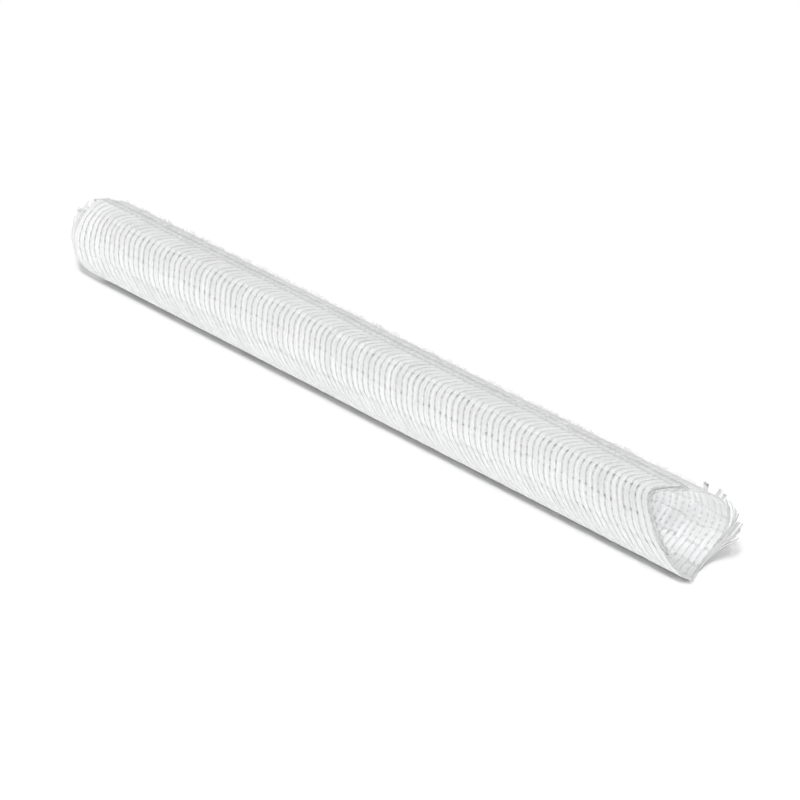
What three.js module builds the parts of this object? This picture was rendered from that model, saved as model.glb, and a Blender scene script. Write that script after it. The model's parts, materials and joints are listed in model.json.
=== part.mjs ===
// A self-closing braided cable sleeve: a strip of cloth, woven from stiff white hoop filaments and
// lengthwise yarns, that curls into a tube by itself and laps over its own edge.
//
// Millimetres, +Z up. The sleeve lies on the floor along X with the end that faces the viewer at +X,
// and the origin is on the floor under the middle of it. Angles are in degrees around the bore,
// from +Y towards +Z.

import * as THREE from "three";

// The strip of cloth
const SLEEVE_LENGTH = 315; // from cut end to cut end
const BORE_DIAMETER = 19; // the round space that the cables take
const WALL_THICKNESS = 0.8;
const SEAM_ANGLE = 105; // where the outer free edge lies
const LAP_ANGLE = 90; // how far the outer layer reaches over the inner one
const LAP_GAP = 0.3; // air between the two layers
const LAP_CLIMB_ANGLE = 60; // the stretch in which the cloth climbs on to the inner layer

// The hoops that have come out of the weave at the cut ends, each a flat bundle of filaments
const HOOP_WIDTH = 1.2; // along the sleeve
const HOOP_THICKNESS = 0.35;
const HOOP_GAP = 0.3; // between one hoop and the next, and from the first one to the cloth
const NEAR_LOOSE_HOOPS = { count: 4, rootAngle: -75, rootStep: 8, tipAngle: 78, tipStep: -16 };
const FAR_LOOSE_HOOPS = { count: 2, rootAngle: 215, rootStep: -14, tipAngle: 112, tipStep: 18 };
const TIP_SPRING = 1.0; // how far a loose hoop's tip stands out from the round

// Roundness of the faceted model
const FACETS_PER_TURN = 40;
const FACETS_PER_EDGE = 4; // around each free edge of the cloth
const FLOOR_ANGLE = 270;

const clothMaterial = new THREE.MeshStandardMaterial({ color: 0xf3f4f4, roughness: 0.55, metalness: 0 });
const filamentMaterial = new THREE.MeshStandardMaterial({ color: 0xeceeef, roughness: 0.4, metalness: 0 });

const INNER_EDGE_ANGLE = SEAM_ANGLE + 360 + LAP_ANGLE;
const INNER_LAYER_RADIUS = BORE_DIAMETER / 2 + WALL_THICKNESS / 2;
const LAP_RISE = WALL_THICKNESS + LAP_GAP;

// Radius of the middle of the cloth. It follows the bore, and lies one layer further out along the lap.
function clothRadius(angle) {
  const past = (angle - SEAM_ANGLE - LAP_ANGLE) / LAP_CLIMB_ANGLE;
  const share = THREE.MathUtils.clamp(past, 0, 1);
  return INNER_LAYER_RADIUS + (LAP_RISE * (1 + Math.cos(Math.PI * share))) / 2;
}

function polar(radius, angle) {
  const radians = THREE.MathUtils.degToRad(angle);
  return new THREE.Vector2(radius * Math.cos(radians), radius * Math.sin(radians));
}

// The angles at which a curved stretch has its corners. One facet lies flat on the floor.
function facetAngles(from, to) {
  const facet = 360 / FACETS_PER_TURN;
  const firstCorner = FLOOR_ANGLE + facet / 2;
  const angles = [from];
  for (let n = Math.floor((from - firstCorner) / facet) + 1; firstCorner + n * facet < to; n += 1) {
    const corner = firstCorner + n * facet;
    const clear = facet / 4;
    if (corner - from > clear && to - corner > clear) angles.push(corner);
  }
  return [...angles, to];
}

// A half-round edge of the cloth, from its outer face to its inner one or back.
function roundEdge(angle, startTurn) {
  const middle = polar(clothRadius(angle), angle);
  const points = [];
  for (let n = 1; n < FACETS_PER_EDGE; n += 1) {
    const turn = startTurn + (180 * n) / FACETS_PER_EDGE;
    points.push(polar(WALL_THICKNESS / 2, angle + turn).add(middle));
  }
  return points;
}

// The section of the whole strip: out along its outer face, round the inner edge and back.
function clothSection() {
  const angles = facetAngles(SEAM_ANGLE, INNER_EDGE_ANGLE);
  const face = (side) => (angle) => polar(clothRadius(angle) + (side * WALL_THICKNESS) / 2, angle);
  return new THREE.Shape([
    ...angles.map(face(1)),
    ...roundEdge(INNER_EDGE_ANGLE, 0),
    ...angles.reverse().map(face(-1)),
    ...roundEdge(SEAM_ANGLE, 180),
  ]);
}

// The section of one loose hoop, which springs away from the round towards its tip.
function looseHoopSection(rootAngle, tipAngle) {
  const angles = facetAngles(Math.min(rootAngle, tipAngle), Math.max(rootAngle, tipAngle));
  const face = (side) => (angle) => {
    const share = (angle - rootAngle) / (tipAngle - rootAngle);
    const radius = clothRadius(angle + (angle < SEAM_ANGLE ? 360 : 0)) + TIP_SPRING * share ** 2;
    return polar(radius + (side * HOOP_THICKNESS) / 2, angle);
  };
  return new THREE.Shape([...angles.map(face(1)), ...angles.reverse().map(face(-1))]);
}

function extrudeAlongSleeve(name, section, start, length, material) {
  const geometry = new THREE.ExtrudeGeometry(section, { depth: length, bevelEnabled: false });
  const mesh = new THREE.Mesh(geometry, material);
  mesh.name = name;
  mesh.position.z = start;
  return mesh;
}

// The loose hoops of one end lie side by side beyond the cut, each a little shorter than the last.
function looseHoops(end, hoops, direction) {
  const group = new THREE.Group();
  for (let n = 0; n < hoops.count; n += 1) {
    const inside = SLEEVE_LENGTH / 2 + HOOP_GAP + n * (HOOP_WIDTH + HOOP_GAP);
    const start = direction > 0 ? inside : -inside - HOOP_WIDTH;
    const section = looseHoopSection(
      hoops.rootAngle + n * hoops.rootStep,
      hoops.tipAngle + n * hoops.tipStep,
    );
    group.add(
      extrudeAlongSleeve(`loose_hoop_${end}_${n + 1}`, section, start, HOOP_WIDTH, filamentMaterial),
    );
  }
  return group;
}

// Sections are drawn across the sleeve and extruded along it, so X and Y there are Y and Z here.
const lying = new THREE.Matrix4().makeBasis(
  new THREE.Vector3(0, 1, 0),
  new THREE.Vector3(0, 0, 1),
  new THREE.Vector3(1, 0, 0),
);

const sleeve = new THREE.Group();
sleeve.quaternion.setFromRotationMatrix(lying);
sleeve.add(
  extrudeAlongSleeve("woven_wall", clothSection(), -SLEEVE_LENGTH / 2, SLEEVE_LENGTH, clothMaterial),
  looseHoops("near", NEAR_LOOSE_HOOPS, 1),
  looseHoops("far", FAR_LOOSE_HOOPS, -1),
);

// The origin goes on the floor, under the middle of the sleeve.
const part = new THREE.Group().add(sleeve);
const box = new THREE.Box3().setFromObject(part, true);
const middle = box.getCenter(new THREE.Vector3());
sleeve.position.set(-middle.x, -middle.y, -box.min.z);

export default part;
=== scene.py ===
"""A self-closing braided cable sleeve: a strip of cloth, woven from stiff white hoop filaments and lengthwise
yarns, that curls into a tube and laps over its own free edge. Both cut ends are a little frayed.

Metres, +Z up. The sleeve lies along X with the end that faces the viewer at +X. Angles go around the bore,
from +Y towards +Z, and heights are measured outwards from the middle of the wall.
"""

import json
import math

import bpy
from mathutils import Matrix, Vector


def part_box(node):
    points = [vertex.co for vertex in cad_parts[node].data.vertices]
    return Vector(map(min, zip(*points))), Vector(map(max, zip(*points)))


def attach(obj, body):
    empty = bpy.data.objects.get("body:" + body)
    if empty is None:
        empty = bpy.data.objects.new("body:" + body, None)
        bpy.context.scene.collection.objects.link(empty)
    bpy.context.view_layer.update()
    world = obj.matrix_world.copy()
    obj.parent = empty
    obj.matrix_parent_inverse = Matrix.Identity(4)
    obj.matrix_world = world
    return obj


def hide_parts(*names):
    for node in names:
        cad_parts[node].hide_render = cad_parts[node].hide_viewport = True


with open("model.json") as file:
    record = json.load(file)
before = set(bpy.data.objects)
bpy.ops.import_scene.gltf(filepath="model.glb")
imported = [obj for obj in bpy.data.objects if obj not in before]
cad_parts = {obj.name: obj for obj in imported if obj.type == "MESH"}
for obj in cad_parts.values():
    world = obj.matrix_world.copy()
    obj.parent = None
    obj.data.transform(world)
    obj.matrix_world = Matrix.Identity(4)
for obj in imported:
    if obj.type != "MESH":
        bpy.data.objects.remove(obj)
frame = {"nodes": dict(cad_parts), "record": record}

bl_info = {
    "name": "Self-Closing Braided Cable Sleeve",
    "version": (1, 0, 0),
    "blender": (4, 5, 0),
    "location": "3D View > Sidebar > Sleeve",
    "description": "Weaves the hoops, yarns, selvages and frayed ends of a lapped cable sleeve",
    "category": "Add Mesh",
}

MM = 0.001
BODY = "root"
WALL_NODE = "woven_wall"
NEAR_HOOP_NODES = sorted(name for name in frame["nodes"] if name.startswith("loose_hoop_near"))
FAR_HOOP_NODES = sorted(name for name in frame["nodes"] if name.startswith("loose_hoop_far"))
YARN_SLOT = "polyester_yarn"
FILAMENT_SLOT = "monofilament"

WALL_LOW, WALL_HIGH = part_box(WALL_NODE)
WALL_LENGTH = WALL_HIGH.x - WALL_LOW.x
BORE_LOW, BORE_HIGH = (Vector(corner) for corner in frame["record"]["physics"]["openings"][0]["box_m"])
AXIS = (BORE_LOW + BORE_HIGH) / 2

# How far the hoops are pushed along the sleeve, as degrees past the free edge and millimetres. Pushed
# unevenly in the loom, they lie as a chevron whose tip is a quarter of the way down the viewer's side.
HOOP_BOW = (
    (0, 7.4),
    (12, 3.0),
    (22, 0.3),
    (32, 0.6),
    (45, 2.3),
    (60, 4.0),
    (75, 5.6),
    (90, 8.0),
    (110, 9.4),
    (145, 7.6),
    (181, 3.6),
    (212, 1.8),
    (242, 3.4),
    (275, 5.2),
    (294, 6.4),
    (330, 7.6),
    (360, 7.4),
)
MEAN_BOW = 4.4 * MM
# What the end that faces the viewer adds to that, where the last hoops fan out.
END_SPLAY = (
    (0, -2.0),
    (25, 0.5),
    (45, 3.0),
    (64, 5.5),
    (95, 7.2),
    (120, 7.0),
    (150, 4.4),
    (181, 1.0),
    (212, 0.2),
    (240, 1.0),
    (275, 2.9),
    (315, 3.5),
    (338, 1.8),
    (360, -2.0),
)
MEAN_SPLAY = 1 * MM
# The fan keeps growing past the cut, up to this share of it.
SPLAY_LIMIT = 1.3
CURVE_LOW = -10.0
CURVE_HIGH = 10.0

# The waves that make up the seam's waver: radians a metre, phase and share.
WAVER_WAVES = (
    (47.0, 0.6, 1.0),
    (113.0, 2.0, 0.5),
)

# Radius at which the reach of a selvage turn is read as an angle.
EDGE_RADIUS = 10 * MM

# Short yarn ends that have curled out of the cuts: end, angle, reach, lift and sideways drift, the last
# three in millimetres.
CURLED_YARNS = (
    ("far", 97, 1.8, 0.2, 0.6),
    ("far", 115, 2.4, 0.0, -0.5),
    ("far", 136, 1.6, 1.4, 0.4),
    ("near", 79, 1.5, 2.5, 0.4),
    ("near", 65, 1.3, 1.9, -0.4),
    ("near", 53, 1.4, 1.3, 0.5),
)

# How the loose hoops of each end lie. A step is what each hoop adds to the angle of the one before.
NEAR_LOOSE_HOOPS = {
    "Root Angle": math.radians(285),
    "Root Step": math.radians(6),
    "Tip Angle": math.radians(405),
    "Tip Step": math.radians(-16),
    "Spring": 1.3 * MM,
    "Fan": 1.1 * MM,
    # The near loose hoops take the darkest tones: painted shade on the fanned filaments at the near end.
    "Darkest": 0.0,
    "Lightest": 0.5,
}
FAR_LOOSE_HOOPS = {
    "Root Angle": math.radians(215),
    "Root Step": math.radians(-14),
    "Tip Angle": math.radians(112),
    "Tip Step": math.radians(18),
    "Spring": 0.5 * MM,
    "Fan": 0.3 * MM,
    "Darkest": 0.5,
    "Lightest": 1.0,
}


class SleeveSizes(bpy.types.PropertyGroup):
    """The strip of cloth and how it is curled."""

    bore: bpy.props.FloatProperty(
        name="Bore", description="Diameter of the round space inside", default=19 * MM, unit="LENGTH"
    )
    wall: bpy.props.FloatProperty(
        name="Wall", description="Thickness of the cloth", default=0.8 * MM, unit="LENGTH"
    )
    lap_gap: bpy.props.FloatProperty(
        name="Lap Gap", description="Air between the two layers", default=0.3 * MM, unit="LENGTH"
    )
    seam_angle: bpy.props.FloatProperty(
        name="Seam Angle", description="Where the outer free edge lies",
        default=math.radians(105), subtype="ANGLE",
    )
    lap_angle: bpy.props.FloatProperty(
        name="Lap Angle", description="How far the outer layer reaches over the inner one",
        default=math.radians(90), subtype="ANGLE",
    )
    climb_angle: bpy.props.FloatProperty(
        name="Climb Angle", description="The stretch in which the cloth climbs on to the inner layer",
        default=math.radians(60), subtype="ANGLE",
    )
    oval: bpy.props.FloatProperty(
        name="Out of Round", description="How much the radius grows towards the oval angle",
        default=0.35 * MM, unit="LENGTH",
    )
    oval_angle: bpy.props.FloatProperty(
        name="Oval Angle", description="Where the long axis of the section points",
        default=math.radians(126), subtype="ANGLE",
    )
    square_length: bpy.props.FloatProperty(
        name="Square Length", description="Stretch over which the hoops turn square towards the far cut",
        default=26 * MM, unit="LENGTH",
    )
    splay_length: bpy.props.FloatProperty(
        name="Splay Length", description="Stretch over which the near end fans out",
        default=45 * MM, unit="LENGTH",
    )
    waver: bpy.props.FloatProperty(
        name="Seam Waver", description="How far the cloth turns to and fro along the sleeve",
        default=math.radians(1.1), subtype="ANGLE",
    )


class WeaveSettings(bpy.types.PropertyGroup):
    """The hoop filaments and the lengthwise yarns."""

    pitch: bpy.props.FloatProperty(
        name="Hoop Pitch", description="From one hoop to the next", default=1.5 * MM, unit="LENGTH"
    )
    filaments: bpy.props.IntProperty(
        name="Filaments", description="Filaments side by side in one hoop", default=5, min=1
    )
    filament_width: bpy.props.FloatProperty(
        name="Filament Width", description="Width of one filament", default=0.36 * MM, unit="LENGTH"
    )
    filament_height: bpy.props.FloatProperty(
        name="Filament Height", description="Thickness of one filament", default=0.28 * MM, unit="LENGTH"
    )
    hoop_height: bpy.props.FloatProperty(
        name="Hoop Height", description="How far a hoop rises and sinks through the weave",
        default=0.13 * MM, unit="LENGTH",
    )
    bands: bpy.props.IntProperty(
        name="Bands", description="Lengthwise bands across the strip", default=17, min=1
    )
    yarns: bpy.props.IntProperty(
        name="Yarns", description="Yarns side by side in one band", default=3, min=1
    )
    yarn_width: bpy.props.FloatProperty(
        name="Yarn Width", description="Width of one flattened yarn", default=1.75 * MM, unit="LENGTH"
    )
    yarn_height: bpy.props.FloatProperty(
        name="Yarn Height", description="Thickness of one flattened yarn", default=0.08 * MM, unit="LENGTH"
    )
    yarn_wave: bpy.props.FloatProperty(
        name="Yarn Wave", description="How far a yarn rises and sinks over the hoops",
        default=0.03 * MM, unit="LENGTH",
    )
    yarn_depth: bpy.props.FloatProperty(
        name="Yarn Depth", description="How far the yarns lie inward of the middle of the wall",
        default=0.06 * MM, unit="LENGTH",
    )
    pairing: bpy.props.FloatProperty(
        name="Pairing", description="How far two hoops lie from their places, so that they make one rib",
        default=0.69 * MM, unit="LENGTH",
    )
    unevenness: bpy.props.FloatProperty(
        name="Unevenness", description="How far hoops stray from their places",
        default=0.12 * MM, unit="LENGTH",
    )
    seed: bpy.props.IntProperty(name="Seed", description="Seed of all random strays", default=7)


class FinishSettings(bpy.types.PropertyGroup):
    """Colours and the studio."""

    filament_colour: bpy.props.FloatVectorProperty(
        name="Filament", description="Colour of the hoop filaments",
        default=(0.9, 0.903, 0.905), subtype="COLOR", size=3,
    )
    # The yarns are darker than the filaments: partly their own duller colour, partly painted shade for the
    # grooves between the ribs where the yarns show.
    yarn_colour: bpy.props.FloatVectorProperty(
        name="Yarn", description="Colour of the lengthwise yarns",
        default=(0.72, 0.724, 0.728), subtype="COLOR", size=3,
    )
    floor_colour: bpy.props.FloatVectorProperty(
        name="Floor", description="Colour of the floor",
        default=(0.97, 0.97, 0.97), subtype="COLOR", size=3,
    )
    sky_strength: bpy.props.FloatProperty(
        name="Sky Strength", description="Brightness of the white surroundings", default=0.57
    )
    key_strength: bpy.props.FloatProperty(
        name="Key Strength", description="Strength of the light above the camera", default=0.7
    )
    key_elevation: bpy.props.FloatProperty(
        name="Key Elevation", description="Height of the key above the horizon",
        default=math.radians(33), subtype="ANGLE",
    )
    glow_strength: bpy.props.FloatProperty(
        name="Glow Strength", description="Strength of the light that goes through the thin milky wall",
        default=0.95,
    )
    glow_elevation: bpy.props.FloatProperty(
        name="Glow Elevation", description="Height of the glow's light above the horizon",
        default=math.radians(17), subtype="ANGLE",
    )
    bore_radiance: bpy.props.FloatProperty(
        name="Bore Radiance", description="Brightness of the light that comes through the wall to the inside",
        default=1.4,
    )
    wash_strength: bpy.props.FloatProperty(
        name="Wash Strength", description="Strength of the light that reaches the floor alone", default=2.5
    )
    wash_elevation: bpy.props.FloatProperty(
        name="Wash Elevation", description="Height of the floor's light above the horizon",
        default=math.radians(28), subtype="ANGLE",
    )
    wash_azimuth: bpy.props.FloatProperty(
        name="Wash Azimuth", description="Turn of the floor's light round the sleeve",
        default=math.radians(61.5), subtype="ANGLE",
    )
    camera_azimuth: bpy.props.FloatProperty(
        name="Camera Azimuth", description="Turn of the camera round the sleeve",
        default=math.radians(64), subtype="ANGLE",
    )
    camera_elevation: bpy.props.FloatProperty(
        name="Camera Elevation", description="Height of the camera above the horizon",
        default=math.radians(14.4), subtype="ANGLE",
    )
    camera_distance: bpy.props.FloatProperty(
        name="Camera Distance", description="From the camera to the sleeve's middle",
        default=2.45, unit="LENGTH",
    )
    camera_lens: bpy.props.FloatProperty(name="Camera Lens", description="Focal length in mm", default=458)


def sizes():
    return bpy.context.scene.sleeve_sizes


def weave():
    return bpy.context.scene.sleeve_weave


def finish():
    return bpy.context.scene.sleeve_finish


# Node trees


class Wire:
    """One output of a node, written in sums: 1 - mask adds the Math node that works it out."""

    def __init__(self, graph, socket):
        self.graph = graph
        self.socket = socket

    def __add__(self, other):
        return self.graph.math("ADD", self, other)

    def __radd__(self, other):
        return self.graph.math("ADD", other, self)

    def __sub__(self, other):
        return self.graph.math("SUBTRACT", self, other)

    def __rsub__(self, other):
        return self.graph.math("SUBTRACT", other, self)

    def __mul__(self, other):
        return self.graph.math("MULTIPLY", self, other)

    def __rmul__(self, other):
        return self.graph.math("MULTIPLY", other, self)

    def __truediv__(self, other):
        return self.graph.math("DIVIDE", self, other)

    def __rtruediv__(self, other):
        return self.graph.math("DIVIDE", other, self)

    def __pow__(self, other):
        return self.graph.math("POWER", self, other)

    def __mod__(self, other):
        return self.graph.math("FLOORED_MODULO", self, other)

    def __abs__(self):
        return self.graph.math("ABSOLUTE", self)


class Graph:
    """A node tree under construction, of geometry or of a material."""

    def __init__(self, tree):
        self.tree = tree

    @classmethod
    def of_geometry(cls, name, inputs, outputs=(("Geometry", "NodeSocketGeometry"),)):
        tree = bpy.data.node_groups.new(name, "GeometryNodeTree")
        for label, kind, value in inputs:
            socket = tree.interface.new_socket(label, in_out="INPUT", socket_type=kind)
            if value is not None:
                socket.default_value = value
        for label, kind in outputs:
            tree.interface.new_socket(label, in_out="OUTPUT", socket_type=kind)
        graph = cls(tree)
        graph.inside = tree.nodes.new("NodeGroupInput")
        graph.result = tree.nodes.new("NodeGroupOutput")
        return graph

    @staticmethod
    def named(sockets, name):
        """The socket in use that has this name, or the one at this place."""
        if isinstance(name, int):
            return sockets[name]
        return next(socket for socket in sockets if socket.name == name and socket.enabled)

    def input(self, name):
        return Wire(self, self.inside.outputs[name])

    def feed(self, socket, value):
        if isinstance(value, Wire):
            self.tree.links.new(value.socket, socket)
        else:
            socket.default_value = value

    def node(self, kind, settings=None, values=None):
        """A node with its settings, a curve's points among them, and then its sockets."""
        made = self.tree.nodes.new(kind)
        for name, value in (settings or {}).items():
            if name == "points":
                curve = made.mapping.curves[0]
                while len(curve.points) < len(value):
                    curve.points.new(1.0, 1.0)
                for point, place in zip(curve.points, value):
                    point.location = place
                made.mapping.update()
            else:
                setattr(made, name, value)
        for name, value in (values or {}).items():
            self.feed(self.named(made.inputs, name), value)
        return made

    def wire(self, kind, output, settings=None, values=None):
        made = self.node(kind, settings, values)
        return Wire(self, self.named(made.outputs, output))

    def math(self, operation, *values):
        numbered = dict(enumerate(values))
        return self.wire("ShaderNodeMath", "Value", {"operation": operation}, numbered)

    def clamp(self, value, low=0.0, high=1.0):
        return self.math("MINIMUM", self.math("MAXIMUM", value, low), high)

    def vector(self, x, y, z):
        return self.wire("ShaderNodeCombineXYZ", "Vector", values={"X": x, "Y": y, "Z": z})

    def vector_math(self, operation, *values):
        numbered = dict(enumerate(values))
        return self.wire("ShaderNodeVectorMath", "Vector", {"operation": operation}, numbered)

    def mix_colour(self, share, low, high):
        values = {"Factor": share, "A": low, "B": high}
        return self.wire("ShaderNodeMix", "Result", {"data_type": "RGBA"}, values)

    def random(self, low, high, identity, seed):
        values = {"Min": low, "Max": high, "ID": identity, "Seed": seed}
        return self.wire("FunctionNodeRandomValue", "Value", {"data_type": "FLOAT"}, values)

    def noise(self, vector, scale, detail=2.0):
        """Smooth noise around zero, from about -0.5 to 0.5."""
        values = {"Vector": vector, "Scale": scale, "Detail": detail}
        return self.wire("ShaderNodeTexNoise", 0, values=values) - 0.5

    def finish(self, geometry):
        self.feed(self.result.inputs[0], geometry)
        return self.tree


def shift_curve(graph, table, angle, seam_angle):
    """What a table of degrees past the free edge and millimetres gives at an angle, in metres."""
    turn = graph.math("FRACT", (angle - seam_angle) / math.tau + 4.0)
    reach = CURVE_HIGH - CURVE_LOW
    points = [(degrees / 360, (shift - CURVE_LOW) / reach) for degrees, shift in table]
    value = graph.wire("ShaderNodeFloatCurve", "Value", {"points": points}, {"Value": turn})
    return (value * reach + CURVE_LOW) * MM


def cloth_radius(angle):
    """Radius of the middle of the wall. It lies one layer further out along the lap."""
    size = sizes()
    layer = (size.bore + size.wall) / 2
    past = (angle - size.seam_angle - size.lap_angle) / size.climb_angle
    climb = (1 + math.cos(math.pi * min(1.0, max(0.0, past)))) / 2
    oval = size.oval * math.cos(2 * (angle - size.oval_angle))
    return layer + (size.wall + size.lap_gap) * climb + oval


def lift():
    """How much higher the oval section's middle lies than the round one's, so that it rests on the floor."""
    steps = 360
    start = sizes().seam_angle + sizes().lap_angle
    angles = [start + math.tau * step / steps for step in range(steps)]
    lowest = min((cloth_radius(a) + sizes().wall / 2) * math.sin(a) for a in angles)
    return max(0.0, -lowest - AXIS.z)


def cloth_point_group():
    """Where a point of the cloth lies, from its place along the sleeve, its angle and its height."""
    size = sizes()
    inputs = [
        ("Along", "NodeSocketFloat", 0.0),
        ("Angle", "NodeSocketFloat", 0.0),
        ("Height", "NodeSocketFloat", 0.0),
        ("Layer Radius", "NodeSocketFloat", (size.bore + size.wall) / 2),
        ("Lap Rise", "NodeSocketFloat", size.wall + size.lap_gap),
        ("Seam Angle", "NodeSocketFloat", size.seam_angle),
        ("Lap Angle", "NodeSocketFloat", size.lap_angle),
        ("Climb Angle", "NodeSocketFloat", size.climb_angle),
        ("Oval", "NodeSocketFloat", size.oval),
        ("Oval Angle", "NodeSocketFloat", size.oval_angle),
        ("Waver", "NodeSocketFloat", size.waver),
        ("Far Cut", "NodeSocketFloat", WALL_LOW.x),
        ("Square Length", "NodeSocketFloat", size.square_length),
        ("Splay Start", "NodeSocketFloat", WALL_HIGH.x - size.splay_length),
        ("Splay Length", "NodeSocketFloat", size.splay_length),
        ("Axis", "NodeSocketVector", (0.0, AXIS.y, AXIS.z + lift())),
    ]
    outputs = (("Position", "NodeSocketVector"), ("Outward", "NodeSocketVector"))
    graph = Graph.of_geometry("Cloth Point", inputs, outputs)
    along = graph.input("Along")
    angle = graph.input("Angle")
    seam = graph.input("Seam Angle")

    past = (angle - seam - graph.input("Lap Angle")) / graph.input("Climb Angle")
    climb = (graph.math("COSINE", math.pi * graph.clamp(past)) + 1) / 2
    oval = graph.input("Oval") * graph.math("COSINE", 2 * (angle - graph.input("Oval Angle")))
    radius = graph.input("Layer Radius") + graph.input("Lap Rise") * climb + oval + graph.input("Height")

    splay = graph.clamp((along - graph.input("Splay Start")) / graph.input("Splay Length"), 0.0, SPLAY_LIMIT)
    slanted = graph.clamp((along - graph.input("Far Cut")) / graph.input("Square Length"))
    bow = (shift_curve(graph, HOOP_BOW, angle, seam) - MEAN_BOW) * slanted
    fan = (shift_curve(graph, END_SPLAY, angle, seam) - MEAN_SPLAY) * splay * splay
    waves = sum(graph.math("SINE", along * rate + phase) * share for rate, phase, share in WAVER_WAVES)
    turned = angle + graph.input("Waver") * waves

    cosine = graph.math("COSINE", turned)
    sine = graph.math("SINE", turned)
    outward = graph.vector(0.0, cosine, sine)
    place = graph.vector(along + bow + fan, radius * cosine, radius * sine)
    graph.feed(graph.result.inputs["Position"], graph.vector_math("ADD", place, graph.input("Axis")))
    graph.feed(graph.result.inputs["Outward"], outward)
    return graph.tree


def on_cloth(graph, along, angle, height):
    """Position and outward direction of a point of the cloth."""
    group = bpy.data.node_groups.get("Cloth Point") or cloth_point_group()
    values = {"Along": along, "Angle": angle, "Height": height}
    made = graph.tree.nodes.new("GeometryNodeGroup")
    made.node_tree = group
    for name, value in values.items():
        graph.feed(made.inputs[name], value)
    return Wire(graph, made.outputs["Position"]), Wire(graph, made.outputs["Outward"])


class Strands:
    """Many like strands in one tree: a straight line of points, copied, that is then bent into place."""

    def __init__(self, graph, count, points):
        self.graph = graph
        line = graph.wire(
            "GeometryNodeCurvePrimitiveLine", "Curve", values={"Start": (0, 0, 0), "End": (1, 0, 0)}
        )
        fine = graph.wire(
            "GeometryNodeResampleCurve", "Curve", {"mode": "COUNT"}, {"Curve": line, "Count": points}
        )
        copies = graph.node(
            "GeometryNodeDuplicateElements", {"domain": "SPLINE"}, {"Geometry": fine, "Amount": count}
        )
        self.curves = Wire(graph, copies.outputs["Geometry"])
        self.number = Wire(graph, copies.outputs["Duplicate Index"])
        self.share = graph.wire("GeometryNodeSplineParameter", "Index") / (points - 1)

    def in_groups(self, size):
        """The number of the group that a strand is in, and its place there."""
        return self.graph.math("FLOOR", (self.number + 0.5) / size), self.number % size

    def swept(self, place, sides, width="Width", boxy=False, tones=(0.7, 1.0)):
        """The strands as flat tubes whose thin side faces outward, each with a random tone.

        The place is their position and the outward direction there, and width names an input of the tree.
        """
        graph = self.graph
        position, outward = place
        tone = graph.random(*tones, self.number, graph.input("Seed"))
        moved = graph.wire(
            "GeometryNodeSetPosition", "Geometry", values={"Geometry": self.curves, "Position": position}
        )
        toned = graph.wire(
            "GeometryNodeStoreNamedAttribute",
            "Geometry",
            {"data_type": "FLOAT", "domain": "POINT"},
            {"Geometry": moved, "Name": "tone", "Value": tone},
        )
        facing = graph.wire(
            "GeometryNodeSetCurveNormal", "Curve", {"mode": "FREE"}, {"Curve": toned, "Normal": outward}
        )
        ring = graph.wire(
            "GeometryNodeCurvePrimitiveCircle", "Curve", values={"Resolution": sides, "Radius": 0.5}
        )
        if boxy:
            values = {"Geometry": ring, "Rotation": (0.0, 0.0, math.pi / 4), "Scale": (1.35, 1.35, 1.0)}
            ring = graph.wire("GeometryNodeTransform", "Geometry", values=values)
        scale = graph.vector(graph.input("Thickness"), graph.input(width), 1.0)
        flat = graph.wire("GeometryNodeTransform", "Geometry", values={"Geometry": ring, "Scale": scale})
        values = {"Curve": facing, "Profile Curve": flat, "Fill Caps": True}
        tubes = graph.wire("GeometryNodeCurveToMesh", "Mesh", values=values)
        smooth = graph.wire("GeometryNodeSetShadeSmooth", "Geometry", values={"Geometry": tubes})
        real = graph.wire("GeometryNodeRealizeInstances", "Geometry", values={"Geometry": smooth})
        values = {"Geometry": real, "Material": graph.input("Material")}
        return graph.wire("GeometryNodeSetMaterial", "Geometry", values=values)


HOOP_INPUTS = [
    ("Material", "NodeSocketMaterial", None),
    ("First Hoop", "NodeSocketInt", 0),
    ("Hoops", "NodeSocketInt", 70),
    ("Filaments", "NodeSocketInt", 4),
    ("Points", "NodeSocketInt", 69),
    ("Start", "NodeSocketFloat", 0.0),
    ("Pitch", "NodeSocketFloat", 1.5 * MM),
    ("Start Angle", "NodeSocketFloat", 0.0),
    ("Sweep", "NodeSocketFloat", math.tau),
    ("Bands", "NodeSocketInt", 17),
    ("Width", "NodeSocketFloat", 0.3 * MM),
    ("Thickness", "NodeSocketFloat", 0.25 * MM),
    ("Wave", "NodeSocketFloat", 0.2 * MM),
    ("Pairing", "NodeSocketFloat", 0.1 * MM),
    ("Unevenness", "NodeSocketFloat", 0.1 * MM),
    ("Seed", "NodeSocketInt", 1),
]


def wander(graph, hoop, band):
    """How far the border between two bands strays from its straight line, in bands."""
    return graph.noise(graph.vector(hoop * 0.13, band * 0.7, 0.0), 1.0) * 0.6


def hoop_along(graph, hoop, filament, band):
    """Where a filament of a hoop lies along the sleeve. Two hoops move together and make one rib."""
    parity = graph.math("COSINE", math.pi * hoop)
    spread = 1.02 + 0.12 * abs(graph.math("SINE", math.pi * band))
    beside = (filament - (graph.input("Filaments") - 1) / 2) * graph.input("Width") * spread
    inside = graph.clamp(band) * graph.clamp(graph.input("Bands") - band)
    paired = graph.input("Pairing") * parity * inside
    number = graph.math("FLOOR", hoop + 0.5)
    stray = graph.input("Unevenness") * graph.random(-0.5, 0.5, number, graph.input("Seed"))
    spot = graph.vector(band * 0.45, hoop * 0.37, filament * 0.06)
    drift = graph.input("Unevenness") * 2.4 * graph.noise(spot, 1.0)
    return graph.input("Start") + (hoop + 0.5) * graph.input("Pitch") + beside + paired + stray + drift


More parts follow.
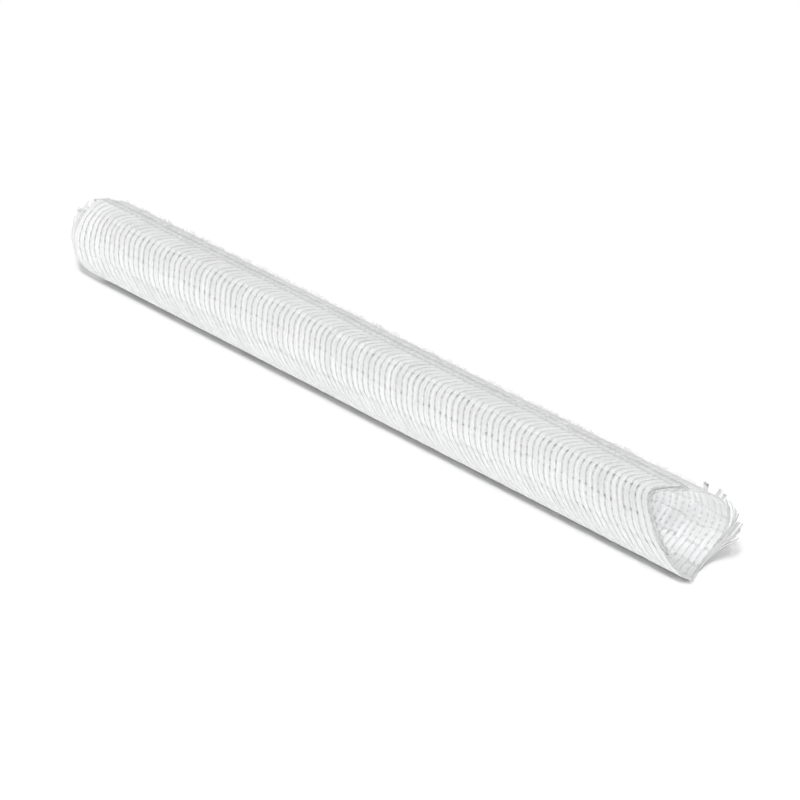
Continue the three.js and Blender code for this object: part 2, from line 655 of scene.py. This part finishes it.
def hoop_tree():
    """Hoops that go over one band of yarns and under the next, each a flat bundle of filaments.

    The two hoops of a rib change places where two bands meet, and no two ribs do so at quite the same angle.
    """
    graph = Graph.of_geometry("Hoop Filaments", HOOP_INPUTS)
    filaments = graph.input("Filaments")
    strands = Strands(graph, graph.input("Hoops") * filaments, graph.input("Points"))
    number, filament = strands.in_groups(filaments)
    hoop = number + graph.input("First Hoop")
    whole = strands.share * graph.input("Bands")
    jitter = graph.random(-0.24, 0.24, graph.math("FLOOR", hoop / 2 + 0.25), graph.input("Seed"))
    away_from_edges = graph.math("SINE", math.pi * strands.share)
    band = whole + wander(graph, hoop, whole) + jitter * away_from_edges
    angle = graph.input("Start Angle") + strands.share * graph.input("Sweep")
    weaving = graph.math("SINE", math.pi * band) * graph.math("COSINE", math.pi * hoop)
    flat_topped = graph.math("TANH", 2.0 * weaving + 0.3)
    roughly = graph.noise(graph.vector(band * 0.9, hoop * 0.51, filament * 0.8), 1.0) * 0.14 * MM
    height = graph.input("Wave") * flat_topped + roughly
    place = on_cloth(graph, hoop_along(graph, hoop, filament, band), angle, height)
    return graph.finish(strands.swept(place, sides=4))


YARN_INPUTS = [
    ("Material", "NodeSocketMaterial", None),
    ("First Band", "NodeSocketInt", 0),
    ("Bands", "NodeSocketInt", 9),
    ("Yarns", "NodeSocketInt", 4),
    ("Points", "NodeSocketInt", 631),
    ("Start", "NodeSocketFloat", 0.0),
    ("Hoops", "NodeSocketInt", 210),
    ("Pitch", "NodeSocketFloat", 1.5 * MM),
    ("Start Angle", "NodeSocketFloat", 0.0),
    ("Band Angle", "NodeSocketFloat", 0.46),
    ("Width", "NodeSocketFloat", 1.1 * MM),
    ("Thickness", "NodeSocketFloat", 0.2 * MM),
    ("Wave", "NodeSocketFloat", 0.2 * MM),
    ("Rise", "NodeSocketFloat", 0.0),
    ("Fill", "NodeSocketFloat", 0.9),
    ("Seed", "NodeSocketInt", 1),
]


def yarn_tree():
    """Lengthwise yarns, which rise over the hoops that pass under their band."""
    graph = Graph.of_geometry("Lengthwise Yarns", YARN_INPUTS)
    yarns = graph.input("Yarns")
    strands = Strands(graph, graph.input("Bands") * yarns, graph.input("Points"))
    number, yarn = strands.in_groups(yarns)
    band = number + graph.input("First Band")
    hoop = strands.share * graph.input("Hoops") - 0.5
    across = (yarn - (yarns - 1) / 2) / yarns * graph.input("Fill") + 0.5
    spot = graph.vector(hoop * 0.23, band * 5.3, yarn * 7.7)
    stray = graph.noise(spot, 1.0) * 0.12
    place = band + across + stray
    angle = graph.input("Start Angle") + (place - wander(graph, hoop, place)) * graph.input("Band Angle")
    over = graph.math("COSINE", math.pi * hoop) * graph.math("COSINE", math.pi * band)
    height = graph.input("Rise") - graph.input("Wave") * over
    along = graph.input("Start") + (hoop + 0.5) * graph.input("Pitch")
    return graph.finish(strands.swept(on_cloth(graph, along, angle, height), sides=4, boxy=True))


SELVAGE_INPUTS = HOOP_INPUTS + [("Direction", "NodeSocketFloat", -1.0), ("Flatness", "NodeSocketFloat", 0.6)]


def selvage_tree():
    """The turns at a free edge, where each hoop's filaments go back as the next hoop's."""
    graph = Graph.of_geometry("Selvage Turns", SELVAGE_INPUTS)
    filaments = graph.input("Filaments")
    strands = Strands(graph, graph.input("Hoops") * filaments, graph.input("Points"))
    pair, filament = strands.in_groups(filaments)
    hoop = pair * 2 + graph.input("First Hoop")
    band = graph.input("Bands")
    first = hoop_along(graph, hoop, filament, band)
    last = hoop_along(graph, hoop + 1, filaments - 1 - filament, band)
    swing = math.pi * strands.share
    reach = (last - first) / 2
    along = (first + last) / 2 - reach * graph.math("COSINE", swing)
    out = abs(reach) * graph.math("SINE", swing) * graph.input("Flatness")
    angle = graph.input("Start Angle") + graph.input("Direction") * out / EDGE_RADIUS
    height = graph.math("SINE", swing) * graph.random(-0.1, 0.14, strands.number, graph.input("Seed")) * MM
    return graph.finish(strands.swept(on_cloth(graph, along, angle, height), sides=4))


LOOSE_INPUTS = [
    ("Material", "NodeSocketMaterial", None),
    ("Hoops", "NodeSocketInt", 4),
    ("Filaments", "NodeSocketInt", 4),
    ("Points", "NodeSocketInt", 36),
    ("Start", "NodeSocketFloat", 0.0),
    ("Pitch", "NodeSocketFloat", 1.5 * MM),
    ("Root Angle", "NodeSocketFloat", 0.0),
    ("Root Step", "NodeSocketFloat", 0.0),
    ("Tip Angle", "NodeSocketFloat", 1.0),
    ("Tip Step", "NodeSocketFloat", 0.0),
    ("Darkest", "NodeSocketFloat", 0.0),
    ("Lightest", "NodeSocketFloat", 0.5),
    ("Spring", "NodeSocketFloat", 1 * MM),
    ("Fan", "NodeSocketFloat", 0.5 * MM),
    ("Width", "NodeSocketFloat", 0.3 * MM),
    ("Thickness", "NodeSocketFloat", 0.25 * MM),
    ("Seed", "NodeSocketInt", 1),
]


def loose_hoop_tree():
    """Hoops that have come out of the weave. Their filaments spring outwards and fan apart at the tips."""
    graph = Graph.of_geometry("Loose Hoops", LOOSE_INPUTS)
    filaments = graph.input("Filaments")
    strands = Strands(graph, graph.input("Hoops") * filaments, graph.input("Points"))
    number = strands.number
    share = strands.share
    seed = graph.input("Seed")
    hoop, filament = strands.in_groups(filaments)
    root = graph.input("Root Angle") + hoop * graph.input("Root Step")
    tip = graph.input("Tip Angle") + hoop * graph.input("Tip Step")
    angle = root + (tip - root) * share * graph.random(0.75, 1.03, number, seed)
    beside = (filament - (filaments - 1) / 2) * graph.input("Width") * (1.0 + 0.8 * share)
    apart = graph.input("Fan") * graph.random(-1.0, 1.0, number, seed + 1)
    out = ((hoop + 1.0) * graph.input("Pitch")) * share
    along = graph.input("Start") + out + beside + apart * share**2.0
    spring = graph.input("Spring") * (share**3.0) * graph.random(0.5, 1.2, number, seed + 2)
    ripple = graph.noise(graph.vector(share * 3.0, hoop * 3.1, filament * 0.4), 1.0) * 0.5 * MM * share
    tones = (graph.input("Darkest"), graph.input("Lightest"))
    return graph.finish(strands.swept(on_cloth(graph, along, angle, spring + ripple), sides=5, tones=tones))


FUZZ_INPUTS = [
    ("Material", "NodeSocketMaterial", None),
    ("Fibres", "NodeSocketInt", 500),
    ("Points", "NodeSocketInt", 6),
    ("Start", "NodeSocketFloat", 0.0),
    ("Length", "NodeSocketFloat", 0.315),
    ("Start Angle", "NodeSocketFloat", 0.0),
    ("Sweep", "NodeSocketFloat", math.tau),
    ("Base", "NodeSocketFloat", 0.3 * MM),
    ("Rise", "NodeSocketFloat", 0.8 * MM),
    ("Reach", "NodeSocketFloat", 1.6 * MM),
    ("Thickness", "NodeSocketFloat", 0.06 * MM),
    ("Seed", "NodeSocketInt", 1),
]


def fuzz_tree():
    """Stray fibres that arch out of the yarns and end in the air or dive back."""
    graph = Graph.of_geometry("Stray Fibres", FUZZ_INPUTS)
    strands = Strands(graph, graph.input("Fibres"), graph.input("Points"))
    seed = graph.input("Seed")
    fibre = strands.number
    share = strands.share
    along = graph.input("Start") + graph.input("Length") * graph.random(0.0, 1.0, fibre, seed)
    angle = graph.input("Start Angle") + graph.input("Sweep") * graph.random(0.0, 1.0, fibre, seed + 1)
    reach = graph.input("Reach") * graph.random(-1.0, 1.0, fibre, seed + 2)
    sway = graph.random(-0.12, 0.12, fibre, seed + 3)
    arch = graph.math("SINE", share * graph.random(1.2, 2.9, fibre, seed + 4))
    height = graph.input("Base") + graph.input("Rise") * graph.random(0.3, 1.0, fibre, seed + 5) * arch
    place = on_cloth(graph, along + reach * share, angle + sway * share * share, height)
    return graph.finish(strands.swept(place, sides=3, width="Thickness"))


TUFT_INPUTS = [
    ("Material", "NodeSocketMaterial", None),
    ("Tufts", "NodeSocketInt", 68),
    ("Fibres", "NodeSocketInt", 6),
    ("Points", "NodeSocketInt", 5),
    ("Start", "NodeSocketFloat", 0.0),
    ("Length", "NodeSocketFloat", 2 * MM),
    ("Start Angle", "NodeSocketFloat", 0.0),
    ("Sweep", "NodeSocketFloat", math.tau),
    ("Spread", "NodeSocketFloat", 0.05),
    ("Flare", "NodeSocketFloat", 0.4 * MM),
    ("Lift", "NodeSocketFloat", 0.0),
    ("Drift", "NodeSocketFloat", 0.0),
    ("Shortest", "NodeSocketFloat", 0.25),
    ("Thickness", "NodeSocketFloat", 0.1 * MM),
    ("Seed", "NodeSocketInt", 1),
]


def tuft_tree():
    """The cut ends of the yarns, each a small brush of fibres."""
    graph = Graph.of_geometry("Yarn Ends", TUFT_INPUTS)
    fibres = graph.input("Fibres")
    strands = Strands(graph, graph.input("Tufts") * fibres, graph.input("Points"))
    seed = graph.input("Seed")
    share = strands.share
    number = strands.number
    tuft, _ = strands.in_groups(fibres)
    length = graph.input("Length") * graph.random(graph.input("Shortest"), 1.0, number, seed)
    angle = graph.input("Start Angle") + graph.input("Sweep") * (tuft + 0.5) / graph.input("Tufts")
    spread = graph.input("Spread") * graph.random(-1.0, 1.0, number, seed + 1)
    flare = graph.input("Flare") * graph.random(-1.0, 1.0, number, seed + 2)
    along = graph.input("Start") + length * graph.math("SINE", share * 1.3)
    turned = angle + spread * (0.4 + share) + graph.input("Drift") * share * share
    rise = (flare + graph.input("Lift")) * share * share
    return graph.finish(strands.swept(on_cloth(graph, along, turned, rise), sides=3, width="Thickness"))


# Finishes


def new_material(name):
    material = bpy.data.materials.new(name)
    material.use_nodes = True
    graph = Graph(material.node_tree)
    surface = material.node_tree.nodes["Principled BSDF"]
    return material, graph, surface


def tinted(colour, factor):
    return tuple(channel * factor for channel in colour) + (1.0,)


def filament_material():
    """Satin monofilament: each strand a tone of its own, kept low on the near loose hoops as painted shade,
    faint dull patches and drawing marks.
    """
    if "Monofilament" in bpy.data.materials:
        return bpy.data.materials["Monofilament"]
    material, graph, surface = new_material("Monofilament")
    tone = graph.wire("ShaderNodeAttribute", "Fac", {"attribute_name": "tone"})
    place = graph.wire("ShaderNodeTexCoord", "Object")
    patches = graph.noise(place, 90.0)
    colour = finish().filament_colour
    shade = graph.clamp(tone + patches * 0.3)
    tints = graph.mix_colour(shade, tinted(colour, 0.62), tinted(colour, 1.03))
    graph.feed(surface.inputs["Base Color"], tints)
    graph.feed(surface.inputs["Roughness"], graph.clamp(0.36 + graph.noise(place, 700.0) * 0.3, 0.2, 0.6))
    bump = graph.wire(
        "ShaderNodeBump",
        "Normal",
        values={"Strength": 0.15, "Distance": 0.03 * MM, "Height": graph.noise(place, 2600.0)},
    )
    graph.feed(surface.inputs["Normal"], bump)
    surface.inputs["Specular IOR Level"].default_value = 0.45
    return material


def yarn_material():
    """Matte multifilament yarn, whose fine fibres run along the sleeve."""
    if "Multifilament Yarn" in bpy.data.materials:
        return bpy.data.materials["Multifilament Yarn"]
    material, graph, surface = new_material("Multifilament Yarn")
    tone = graph.wire("ShaderNodeAttribute", "Fac", {"attribute_name": "tone"})
    place = graph.wire("ShaderNodeTexCoord", "Object")
    drawn = graph.wire("ShaderNodeMapping", "Vector", values={"Vector": place, "Scale": (0.12, 1.0, 1.0)})
    fibres = graph.noise(drawn, 6500.0, 3.0)
    # Painted shade: the dark yarn colour also darkens the grooves between the ribs.
    colour = finish().yarn_colour
    shade = graph.clamp(tone + fibres * 0.9 - 0.1)
    tints = graph.mix_colour(shade, tinted(colour, 0.9), tinted(colour, 1.08))
    graph.feed(surface.inputs["Base Color"], tints)
    graph.feed(surface.inputs["Roughness"], graph.clamp(0.68 + fibres * 0.4, 0.5, 0.9))
    bump = graph.wire(
        "ShaderNodeBump", "Normal", values={"Strength": 0.5, "Distance": 0.05 * MM, "Height": fibres}
    )
    graph.feed(surface.inputs["Normal"], bump)
    surface.inputs["Sheen Weight"].default_value = 0.25
    return material


# Pieces


def link(name, data):
    made = bpy.data.objects.new(name, data)
    bpy.context.scene.collection.objects.link(made)
    return made


def grow(name, tree, settings):
    """A piece made by a node tree, as a plain mesh."""
    piece = link(name, bpy.data.meshes.new(name))
    modifier = piece.modifiers.new("Weave", "NODES")
    modifier.node_group = tree
    for item in tree.interface.items_tree:
        if item.in_out == "INPUT" and item.name in settings:
            modifier[item.identifier] = settings[item.name]
    unknown = set(settings) - {item.name for item in tree.interface.items_tree}
    if unknown:
        raise RuntimeError(f"{name}: the tree {tree.name} has no input named {sorted(unknown)}")
    ready = piece.evaluated_get(bpy.context.evaluated_depsgraph_get())
    mesh = bpy.data.meshes.new_from_object(ready)
    mesh.name = name
    piece.modifiers.clear()
    piece.data = mesh
    if not mesh.polygons:
        raise RuntimeError(f"{name} came out empty")
    return piece


def settle(piece, slot, *nodes):
    """The piece rides with the sleeve and stands for the solids named. The slot is not used."""
    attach(piece, BODY)
    if nodes:
        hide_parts(*nodes)
    return piece


def whole_sweep():
    return math.tau + sizes().lap_angle


def hoop_count():
    return round(WALL_LENGTH / weave().pitch)


def hoop_settings():
    cloth = weave()
    return {
        "Material": filament_material(),
        "Filaments": cloth.filaments,
        "Start": WALL_LOW.x,
        "Pitch": cloth.pitch,
        "Start Angle": sizes().seam_angle,
        "Sweep": whole_sweep(),
        "Bands": cloth.bands,
        "Width": cloth.filament_width,
        "Thickness": cloth.filament_height,
        "Wave": cloth.hoop_height,
        "Pairing": cloth.pairing,
        "Unevenness": cloth.unevenness,
        "Seed": cloth.seed,
    }


class SLEEVE_OT_hoops(bpy.types.Operator):
    """Weave the hoops, in three stretches of the sleeve"""

    bl_idname = "sleeve.hoops"
    bl_label = "Hoop Filaments"

    def execute(self, context):
        tree = hoop_tree()
        stretches = ("far", "middle", "near")
        points_per_band = 4
        each = math.ceil(hoop_count() / len(stretches))
        for number, stretch in enumerate(stretches):
            first = number * each
            settings = hoop_settings()
            settings["First Hoop"] = first
            settings["Hoops"] = min(each, hoop_count() - first)
            settings["Points"] = weave().bands * points_per_band + 1
            piece = grow(f"hoop_filaments_{stretch}", tree, settings)
            settle(piece, FILAMENT_SLOT, WALL_NODE)
        return {"FINISHED"}


def yarn_settings():
    cloth = weave()
    return {
        "Material": yarn_material(),
        "Yarns": cloth.yarns,
        "Start": WALL_LOW.x,
        "Hoops": hoop_count(),
        "Pitch": cloth.pitch,
        "Start Angle": sizes().seam_angle,
        "Band Angle": whole_sweep() / cloth.bands,
        "Width": cloth.yarn_width,
        "Thickness": cloth.yarn_height,
        "Wave": cloth.yarn_wave,
        "Rise": -cloth.yarn_depth,
        "Seed": cloth.seed,
    }


class SLEEVE_OT_yarns(bpy.types.Operator):
    """Weave the lengthwise yarns of both layers, and a strip of darker yarns beside the seam that paints the
    shadow of the seam's step
    """

    bl_idname = "sleeve.yarns"
    bl_label = "Lengthwise Yarns"

    def execute(self, context):
        tree = yarn_tree()
        points_per_hoop = 2
        outer = weave().bands // 2
        shares = (("outer", 0, outer), ("inner", outer, weave().bands - outer))
        for layer, first, bands in shares:
            settings = yarn_settings()
            settings["First Band"] = first
            settings["Bands"] = bands
            settings["Points"] = hoop_count() * points_per_hoop + 1
            piece = grow(f"lengthwise_yarns_{layer}", tree, settings)
            settle(piece, YARN_SLOT, WALL_NODE)

        # A strip of yarn-coloured cloth past the free edge: painted shadow of the step where the outer layer
        # ends.
        strip = math.radians(14)
        settings = yarn_settings()
        settings["Bands"] = 1
        settings["Yarns"] = 2
        settings["Points"] = hoop_count() + 1
        settings["Start Angle"] = sizes().seam_angle + math.tau - strip
        settings["Band Angle"] = strip
        settings["Width"] = 1.3 * MM
        settings["Rise"] = 0.3 * MM
        piece = grow("lengthwise_yarns_beside_seam", tree, settings)
        settle(piece, YARN_SLOT, WALL_NODE)
        return {"FINISHED"}


class SLEEVE_OT_selvages(bpy.types.Operator):
    """Turn the filaments back at both free edges and lay a cord along each"""

    bl_idname = "sleeve.selvages"
    bl_label = "Selvages"

    def execute(self, context):
        tree = selvage_tree()
        cords = yarn_tree()
        seam = sizes().seam_angle
        cord_width = 0.62 * MM
        cord_angle = cord_width / cloth_radius(seam)
        edges = (
            ("seam", seam, -1.0, 0, 0, cord_angle * 0.4),
            ("inner", seam + whole_sweep(), 1.0, 1, weave().bands, -cord_angle * 1.4),
        )
        for name, angle, direction, first, band, inset in edges:
            settings = hoop_settings()
            settings["First Hoop"] = first
            settings["Hoops"] = (hoop_count() - first) // 2
            settings["Points"] = 8
            settings["Start Angle"] = angle
            settings["Bands"] = band
            settings["Direction"] = direction
            piece = grow(f"{name}_selvage_turns", tree, settings)
            settle(piece, FILAMENT_SLOT, WALL_NODE)

            settings = yarn_settings()
            settings["Bands"] = 1
            settings["Yarns"] = 1
            settings["Points"] = hoop_count() * 3 + 1
            settings["Start Angle"] = angle + inset
            settings["Band Angle"] = cord_angle
            settings["Width"] = cord_width
            settings["Thickness"] = 0.34 * MM
            settings["Rise"] = 0.04 * MM
            settings["Wave"] = 0.06 * MM
            piece = grow(f"{name}_selvage_cord", cords, settings)
            settle(piece, YARN_SLOT, WALL_NODE)
        return {"FINISHED"}


class SLEEVE_OT_loose_hoops(bpy.types.Operator):
    """Let the last hoops spring out of both cuts"""

    bl_idname = "sleeve.loose_hoops"
    bl_label = "Loose Hoops"

    def execute(self, context):
        tree = loose_hoop_tree()
        cloth = weave()
        ends = (
            ("near", NEAR_HOOP_NODES, NEAR_LOOSE_HOOPS, WALL_HIGH.x, 1.0),
            ("far", FAR_HOOP_NODES, FAR_LOOSE_HOOPS, WALL_LOW.x, -1.0),
        )
        for name, nodes, shape, cut, direction in ends:
            settings = {
                "Material": filament_material(),
                "Hoops": len(nodes),
                "Filaments": cloth.filaments,
                "Start": cut - direction * cloth.pitch * 0.2,
                "Pitch": direction * cloth.pitch * 0.7,
                "Width": cloth.filament_width,
                "Thickness": cloth.filament_height,
                "Seed": cloth.seed,
                **shape,
            }
            settle(grow(f"{name}_loose_hoops", tree, settings), FILAMENT_SLOT, *nodes)
        return {"FINISHED"}


class SLEEVE_OT_fibres(bpy.types.Operator):
    """Let stray fibres stand out of the cloth"""

    bl_idname = "sleeve.fibres"
    bl_label = "Stray Fibres"

    def execute(self, context):
        tree = fuzz_tree()
        stretches = (("front", 105, 125, 350), ("back", 310, 105, 250), ("lap", 415, 40, 900))
        for name, start, sweep, fibres in stretches:
            settings = {
                "Material": yarn_material(),
                "Fibres": fibres,
                "Start": WALL_LOW.x,
                "Length": WALL_LENGTH,
                "Start Angle": math.radians(start),
                "Sweep": math.radians(sweep),
                "Seed": weave().seed + start,
            }
            settle(grow(f"stray_fibres_{name}", tree, settings), YARN_SLOT, WALL_NODE)
        return {"FINISHED"}


class SLEEVE_OT_yarn_ends(bpy.types.Operator):
    """Fray the cut ends of the yarns"""

    bl_idname = "sleeve.yarn_ends"
    bl_label = "Yarn Ends"

    def execute(self, context):
        tree = tuft_tree()
        tufts_per_band = 4
        for name, start, length in (("near", WALL_HIGH.x, 1.4 * MM), ("far", WALL_LOW.x, -1.2 * MM)):
            settings = {
                "Material": yarn_material(),
                "Tufts": weave().bands * tufts_per_band,
                "Start": start,
                "Length": length,
                "Start Angle": sizes().seam_angle,
                "Sweep": whole_sweep(),
                "Seed": weave().seed + len(name),
            }
            settle(grow(f"{name}_yarn_ends", tree, settings), YARN_SLOT, WALL_NODE)
        for number, (end, degrees, reach, lift_mm, drift_mm) in enumerate(CURLED_YARNS, start=1):
            cut, direction = (WALL_HIGH.x, 1.0) if end == "near" else (WALL_LOW.x, -1.0)
            around = degrees if math.radians(degrees) >= sizes().seam_angle else degrees + 360
            settings = {
                "Material": yarn_material(),
                "Tufts": 1,
                "Fibres": 14,
                "Points": 7,
                "Start": cut,
                "Length": direction * reach * MM,
                "Start Angle": math.radians(around),
                "Sweep": 0.0,
                "Spread": 0.035,
                "Flare": 0.25 * MM,
                "Lift": lift_mm * MM,
                "Drift": drift_mm * MM / cloth_radius(0.0),
                "Shortest": 0.75,
                "Thickness": 0.16 * MM,
                "Seed": weave().seed + number,
            }
            settle(grow(f"{end}_curled_yarn_{number}", tree, settings), YARN_SLOT, WALL_NODE)
        return {"FINISHED"}


class SLEEVE_OT_stage(bpy.types.Operator):
    """Set the floor, the soft light and the camera"""

    bl_idname = "sleeve.stage"
    bl_label = "Floor, Light and Camera"

    def execute(self, context):
        make_floor()
        make_light()
        make_camera()
        return {"FINISHED"}


def make_floor():
    half = 4.0
    corners = [(-half, -half, 0), (half, -half, 0), (half, half, 0), (-half, half, 0)]
    mesh = bpy.data.meshes.new("floor")
    mesh.from_pydata(corners, [], [(0, 1, 2, 3)])
    material, _, surface = new_material("Pale Floor")
    surface.inputs["Base Color"].default_value = tinted(finish().floor_colour, 1.0)
    surface.inputs["Roughness"].default_value = 0.9
    surface.inputs["Specular IOR Level"].default_value = 0.1
    mesh.materials.append(material)
    link("floor", mesh)


def make_light():
    look = finish()
    world = bpy.data.worlds.new("White Surroundings")
    world.use_nodes = True
    background = world.node_tree.nodes["Background"]
    background.inputs["Color"].default_value = (1.0, 1.0, 1.0, 1.0)
    background.inputs["Strength"].default_value = look.sky_strength
    bpy.context.scene.world = world

    key_width, wash_width, glow_width = 14, 4, 30
    soft_light("key", look.key_strength, key_width, look.camera_azimuth, look.key_elevation)
    floor = bpy.data.objects["floor"]
    wash = soft_light("floor_wash", look.wash_strength, wash_width, look.wash_azimuth, look.wash_elevation)
    wash.light_linking.receiver_collection = receivers("Floor Alone", floor, "INCLUDE")
    glow = soft_light("wall_glow", look.glow_strength, glow_width, look.camera_azimuth, look.glow_elevation)
    glow.light_linking.receiver_collection = receivers("All but the Floor", floor, "EXCLUDE")
    glow.data.use_shadow = False
    light_bore()


def light_bore():
    """A strip of light along the bore. It faces the back and stands for what the milky wall lets in."""
    strip = bpy.data.lights.new("bore_light", "AREA")
    strip.shape = "RECTANGLE"
    strip.size = WALL_LENGTH
    strip.size_y = 10 * MM
    strip.energy = finish().bore_radiance * math.pi * strip.size * strip.size_y
    light = link("bore_light", strip)
    light.visible_camera = False
    light.location = ((WALL_LOW.x + WALL_HIGH.x) / 2, AXIS.y - 4 * MM, AXIS.z + 3 * MM)
    light.rotation_euler = (math.radians(115), 0.0, 0.0)


def receivers(name, thing, state):
    """A collection for light linking that takes one thing in or leaves it out."""
    collection = bpy.data.collections.new(name)
    collection.objects.link(thing)
    collection.collection_objects[0].light_linking.link_state = state
    return collection


def soft_light(name, strength, width, azimuth, elevation):
    """A far-off light, so many degrees wide, from this turn and height."""
    lamp = bpy.data.lights.new(name, "SUN")
    lamp.energy = strength
    lamp.angle = math.radians(width)
    light = link(name, lamp)
    light.rotation_euler = towards(azimuth, elevation).to_track_quat("Z", "Y").to_euler()
    return light


def towards(turn, rise):
    """The direction with this turn from -Y towards +X and this rise above the floor."""
    return Vector((math.sin(turn) * math.cos(rise), -math.cos(turn) * math.cos(rise), math.sin(rise)))


def make_camera():
    look = finish()
    turn = look.camera_azimuth
    back = towards(turn, look.camera_elevation)
    right = Vector((math.cos(turn), math.sin(turn), 0.0))
    up = back.cross(right)
    middle = Vector(((WALL_LOW.x + WALL_HIGH.x) / 2, AXIS.y, AXIS.z))
    aim = middle + right * 3.6 * MM - up * 5.5 * MM
    data = bpy.data.cameras.new("camera")
    data.lens = look.camera_lens
    data.sensor_width = 36
    data.clip_end = 20
    camera = link("camera", data)
    camera.location = aim + back * look.camera_distance
    camera.rotation_euler = back.to_track_quat("Z", "Y").to_euler()
    bpy.context.scene.camera = camera
    bpy.context.scene.view_settings.view_transform = "Standard"


class SLEEVE_PT_panel(bpy.types.Panel):
    bl_label = "Braided Cable Sleeve"
    bl_idname = "SLEEVE_PT_panel"
    bl_space_type = "VIEW_3D"
    bl_region_type = "UI"
    bl_category = "Sleeve"

    def draw(self, context):
        for group in (sizes(), weave(), finish()):
            box = self.layout.box()
            for name in group.__annotations__:
                box.prop(group, name)
        for operator in OPERATORS:
            self.layout.operator(operator.bl_idname)


OPERATORS = (
    SLEEVE_OT_stage,
    SLEEVE_OT_hoops,
    SLEEVE_OT_yarns,
    SLEEVE_OT_selvages,
    SLEEVE_OT_loose_hoops,
    SLEEVE_OT_fibres,
    SLEEVE_OT_yarn_ends,
)
GROUPS = {
    "sleeve_sizes": SleeveSizes,
    "sleeve_weave": WeaveSettings,
    "sleeve_finish": FinishSettings,
}


def register():
    for group in GROUPS.values():
        bpy.utils.register_class(group)
    for name, group in GROUPS.items():
        setattr(bpy.types.Scene, name, bpy.props.PointerProperty(type=group))
    for operator in OPERATORS:
        bpy.utils.register_class(operator)
    bpy.utils.register_class(SLEEVE_PT_panel)


def unregister():
    bpy.utils.unregister_class(SLEEVE_PT_panel)
    for operator in reversed(OPERATORS):
        bpy.utils.unregister_class(operator)
    for name in GROUPS:
        delattr(bpy.types.Scene, name)
    for group in reversed(GROUPS.values()):
        bpy.utils.unregister_class(group)


def main():
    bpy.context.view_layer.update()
    register()
    bpy.ops.sleeve.stage()
    bpy.ops.sleeve.hoops()
    bpy.ops.sleeve.yarns()
    bpy.ops.sleeve.selvages()
    bpy.ops.sleeve.loose_hoops()
    bpy.ops.sleeve.fibres()
    bpy.ops.sleeve.yarn_ends()


if __name__ == "__main__":
    main()
